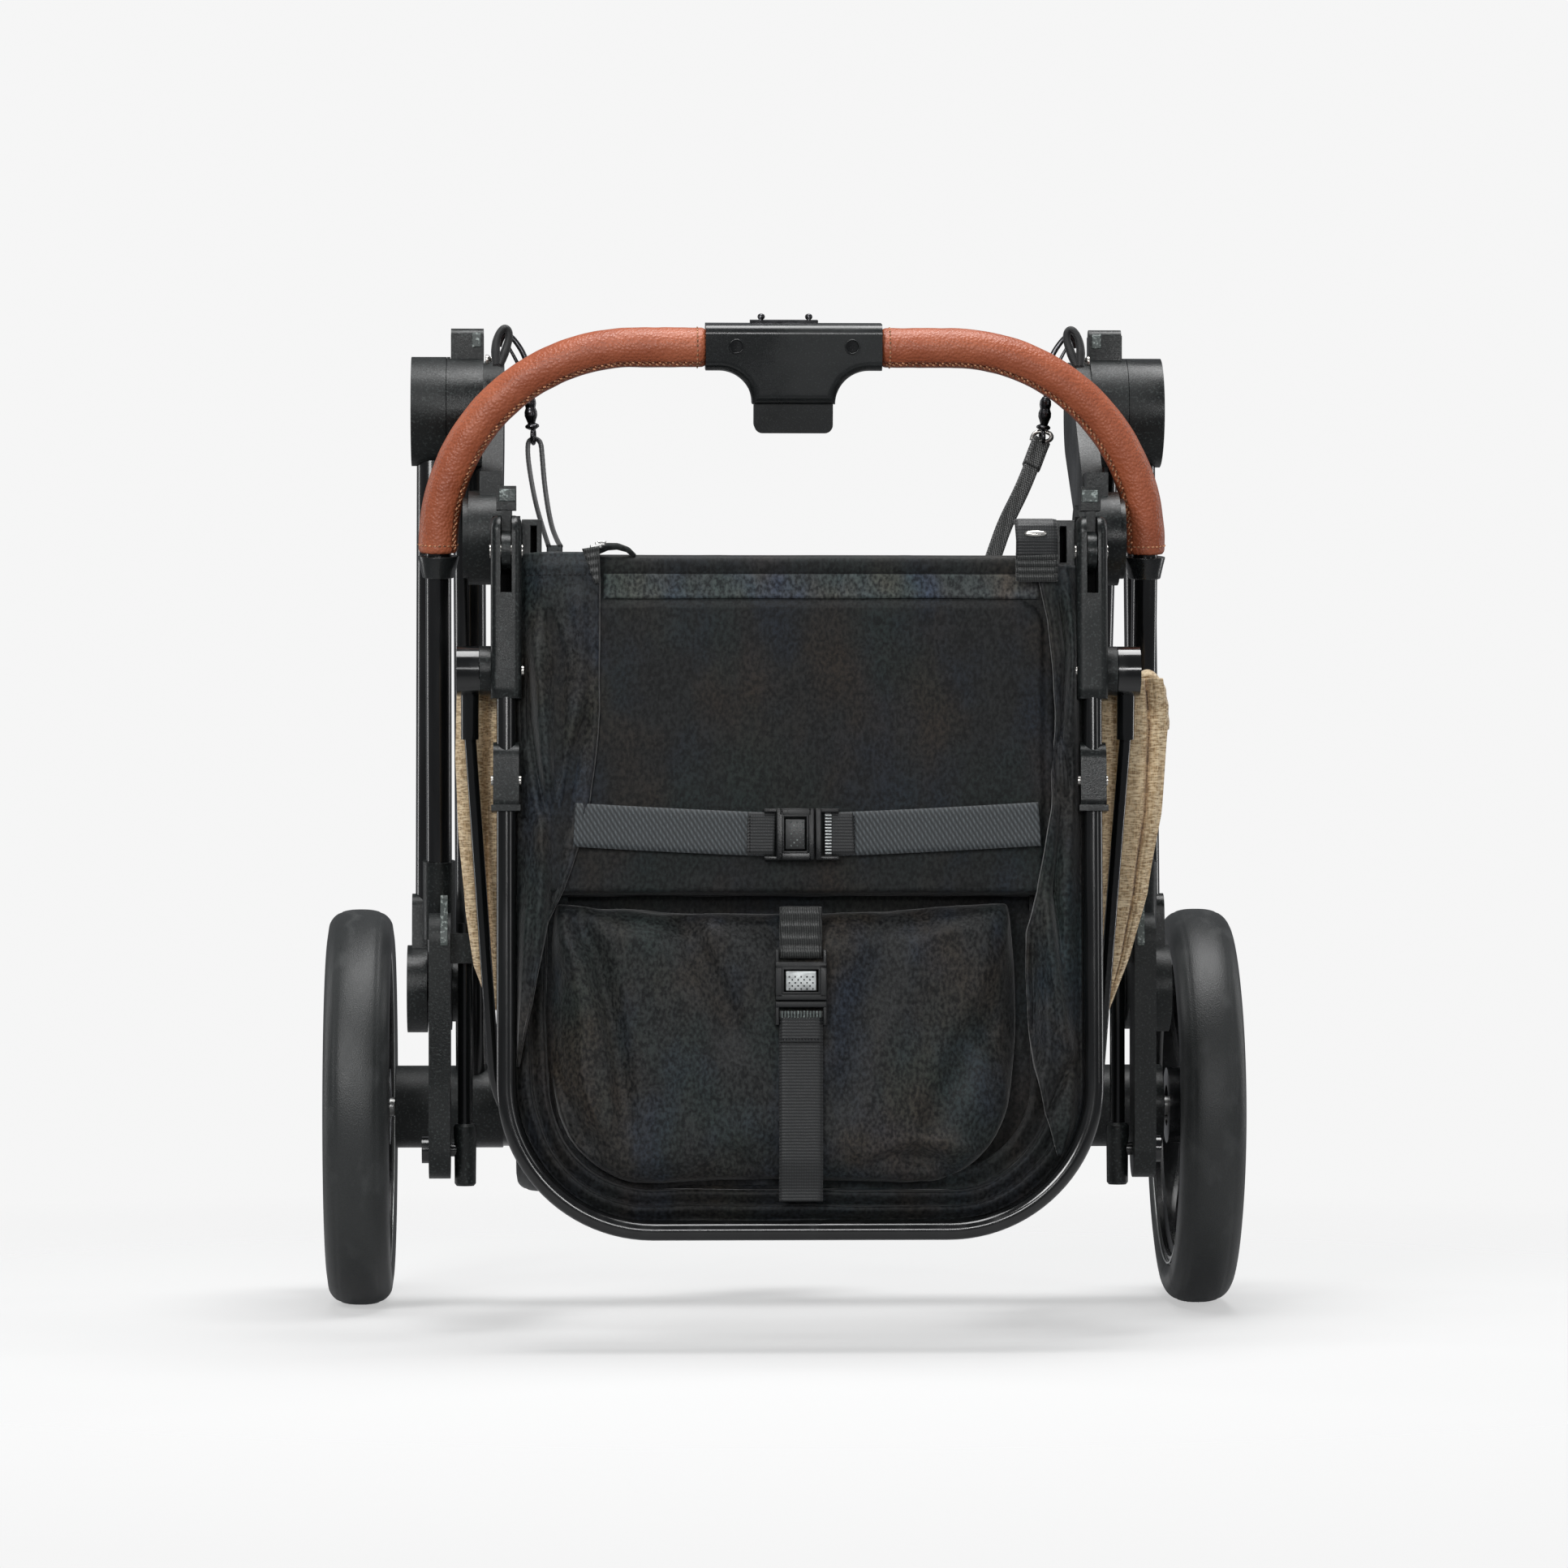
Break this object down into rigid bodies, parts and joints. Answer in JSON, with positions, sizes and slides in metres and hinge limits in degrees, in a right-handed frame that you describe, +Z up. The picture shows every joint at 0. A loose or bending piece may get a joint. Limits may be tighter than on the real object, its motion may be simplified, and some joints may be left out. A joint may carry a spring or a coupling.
{
  "type": "pet stroller",
  "caption": "Folded stroller chassis on two rear wheels: jointed side linkages, leather arch handle with release button, U-shaped seat frame with folded black cabin and tan side cloth.",
  "frame": {"origin": "on the floor, at the middle of the folded stroller's footprint", "axes": "+X to the right seen from the front, -Y the front (direction of travel), +Z up"},
  "size_m": [0.5714, 0.4782, 0.6093],
  "materials": {
    "tyre_rubber": "matte moulded rubber",
    "rim_plastic": "gloss black",
    "frame_tube": "satin black powder coat",
    "bracket_plastic": "fine textured charcoal",
    "steel": "turned",
    "rivet": "polished",
    "black_chrome": "dark plated",
    "leather": "terracotta, stitched",
    "black_fabric": "coated woven polyester",
    "tan_fabric": "khaki melange weave",
    "webbing": "charcoal twill webbing",
    "cord": "braided",
    "button_plastic": "smooth black"
  },
  "bodies": {
    "rear_frame": {"axle_shaft": "steel", "axle_tube": "frame_tube", "axle_housings": "bracket_plastic", "hinge_arm_left": "bracket_plastic", "hinge_arm_right": "bracket_plastic", "rear_leg_left": "frame_tube", "rear_leg_right": "frame_tube", "link_plates": "bracket_plastic", "leg_cross_tube": "frame_tube", "snap_hooks": "black_chrome", "tether_cord": "cord", "tether_strap": "webbing"},
    "lower_handle": {"lower_handle_left": "frame_tube", "lower_handle_right": "frame_tube", "hinge_caps": "bracket_plastic", "hub_discs": "bracket_plastic"},
    "handle": {"handle_tube": "frame_tube", "pull_rods": "frame_tube", "fold_bracket_left": "bracket_plastic", "fold_bracket_right": "bracket_plastic", "leather_grip_left": "leather", "leather_grip_right": "leather", "handle_collars": "bracket_plastic", "housing_front": "bracket_plastic", "housing_back": "bracket_plastic", "housing_screws": "black_chrome", "button_spring": "rivet", "strap_plate": "black_chrome"},
    "release_button": {"release_button": "button_plastic"},
    "seat": {"u_frame": "frame_tube", "fork_sleeve_left": "bracket_plastic", "fork_sleeve_right": "bracket_plastic", "lower_sleeves": "bracket_plastic", "sleeve_rivets": "rivet", "receiver_blocks": "bracket_plastic", "stay_knuckles": "bracket_plastic", "back_panel": "black_fabric", "lower_pouch": "black_fabric", "webbing": "webbing", "buckles": "bracket_plastic"},
    "buckle_button_across": {"buckle_button_across": "button_plastic"},
    "buckle_button_down": {"buckle_button_down": "button_plastic"},
    "cabin_bow": {"cabin_bow": "frame_tube", "side_panels": "tan_fabric"},
    "front_frame": {"front_legs": "frame_tube"},
    "brake_pedal": {"brake_pedal": "bracket_plastic"},
    "rear_wheel_left": {"rear_tyre_left": "tyre_rubber", "rear_rim_left": "rim_plastic", "rear_bearings_left": "steel"},
    "hinge_button_left": {"hinge_button_left": "button_plastic"},
    "caster_left": {"caster_fork_left": "bracket_plastic"},
    "front_wheel_left": {"front_tyre_left": "tyre_rubber", "front_rim_left": "rim_plastic"},
    "rear_wheel_right": {"rear_tyre_right": "tyre_rubber", "rear_rim_right": "rim_plastic", "rear_bearings_right": "steel"},
    "hinge_button_right": {"hinge_button_right": "button_plastic"},
    "caster_right": {"caster_fork_right": "bracket_plastic"},
    "front_wheel_right": {"front_tyre_right": "tyre_rubber", "front_rim_right": "rim_plastic"}
  },
  "joints": [
    {"name": "fold", "type": "hinge", "parent": "rear_frame", "child": "lower_handle", "pos_m": [0, -0.0079, 0.558], "axis": [-1, 0, 0], "range_deg": [0, 226]},
    {"name": "handle_fold", "type": "hinge", "parent": "lower_handle", "child": "handle", "pos_m": [0, -0.0459, 0.205], "axis": [-1, 0, 0], "range_deg": [-162, 0]},
    {"name": "seat_fold", "type": "hinge", "parent": "rear_frame", "child": "seat", "pos_m": [0, -0.2059, 0.465], "axis": [-1, 0, 0], "range_deg": [0, 109]},
    {"name": "bow_fold", "type": "hinge", "parent": "seat", "child": "cabin_bow", "pos_m": [0, -0.19805, 0.39541], "axis": [-1, 0, 0], "range_deg": [-35, 0]},
    {"name": "front_fold", "type": "hinge", "parent": "rear_frame", "child": "front_frame", "pos_m": [0, -0.1109, 0.446], "axis": [-1, 0, 0], "range_deg": [0, 60]},
    {"name": "release_press", "type": "slide", "parent": "handle", "child": "release_button", "axis": [0, -0.1288, 0.9917], "range_m": [0, 0.004], "stiffness_N_per_m": 400, "springref_m": -0.005, "deforming": ["button_spring"]},
    {"name": "buckle_across_press", "type": "slide", "parent": "seat", "child": "buckle_button_across", "axis": [0, 0.9982, -0.0598], "range_m": [0, 0.0015], "stiffness_N_per_m": 500, "springref_m": -0.003},
    {"name": "buckle_down_press", "type": "slide", "parent": "seat", "child": "buckle_button_down", "axis": [0, 0.9982, -0.0598], "range_m": [0, 0.0015], "stiffness_N_per_m": 500, "springref_m": -0.003},
    {"name": "brake_press", "type": "hinge", "parent": "rear_frame", "child": "brake_pedal", "pos_m": [0, 0.1541, 0.118], "axis": [-1, 0, 0], "range_deg": [0, 15]},
    {"name": "rear_spin_left", "type": "hinge", "parent": "rear_frame", "child": "rear_wheel_left", "pos_m": [-0.265, 0.1141, 0.125], "axis": [-1, 0, 0], "continuous": true},
    {"name": "hinge_press_left", "type": "slide", "parent": "rear_frame", "child": "hinge_button_left", "axis": [0, 0, -1], "range_m": [0, 0.003], "stiffness_N_per_m": 500, "springref_m": -0.005},
    {"name": "caster_left", "type": "hinge", "parent": "front_frame", "child": "caster_left", "pos_m": [-0.15, -0.01965, 0.13747], "axis": [0, -0.6613, 0.7501], "range_deg": [-15, 15]},
    {"name": "front_spin_left", "type": "hinge", "parent": "caster_left", "child": "front_wheel_left", "pos_m": [-0.15, -0.0009, 0.154], "axis": [-1, 0, 0], "continuous": true},
    {"name": "rear_spin_right", "type": "hinge", "parent": "rear_frame", "child": "rear_wheel_right", "pos_m": [0.265, 0.1141, 0.125], "axis": [-1, 0, 0], "continuous": true},
    {"name": "hinge_press_right", "type": "slide", "parent": "rear_frame", "child": "hinge_button_right", "axis": [0, 0, -1], "range_m": [0, 0.003], "stiffness_N_per_m": 500, "springref_m": -0.005},
    {"name": "caster_right", "type": "hinge", "parent": "front_frame", "child": "caster_right", "pos_m": [0.15, -0.01965, 0.13747], "axis": [0, -0.6613, 0.7501], "range_deg": [-15, 15]},
    {"name": "front_spin_right", "type": "hinge", "parent": "caster_right", "child": "front_wheel_right", "pos_m": [0.15, -0.0009, 0.154], "axis": [-1, 0, 0], "continuous": true}
  ],
  "couplings": [
    {"joint": "handle_fold", "follows": "fold", "ratio": -0.71681},
    {"joint": "seat_fold", "follows": "fold", "ratio": 0.4823},
    {"joint": "bow_fold", "follows": "fold", "ratio": -0.15487},
    {"joint": "front_fold", "follows": "fold", "ratio": 0.26549}
  ]
}
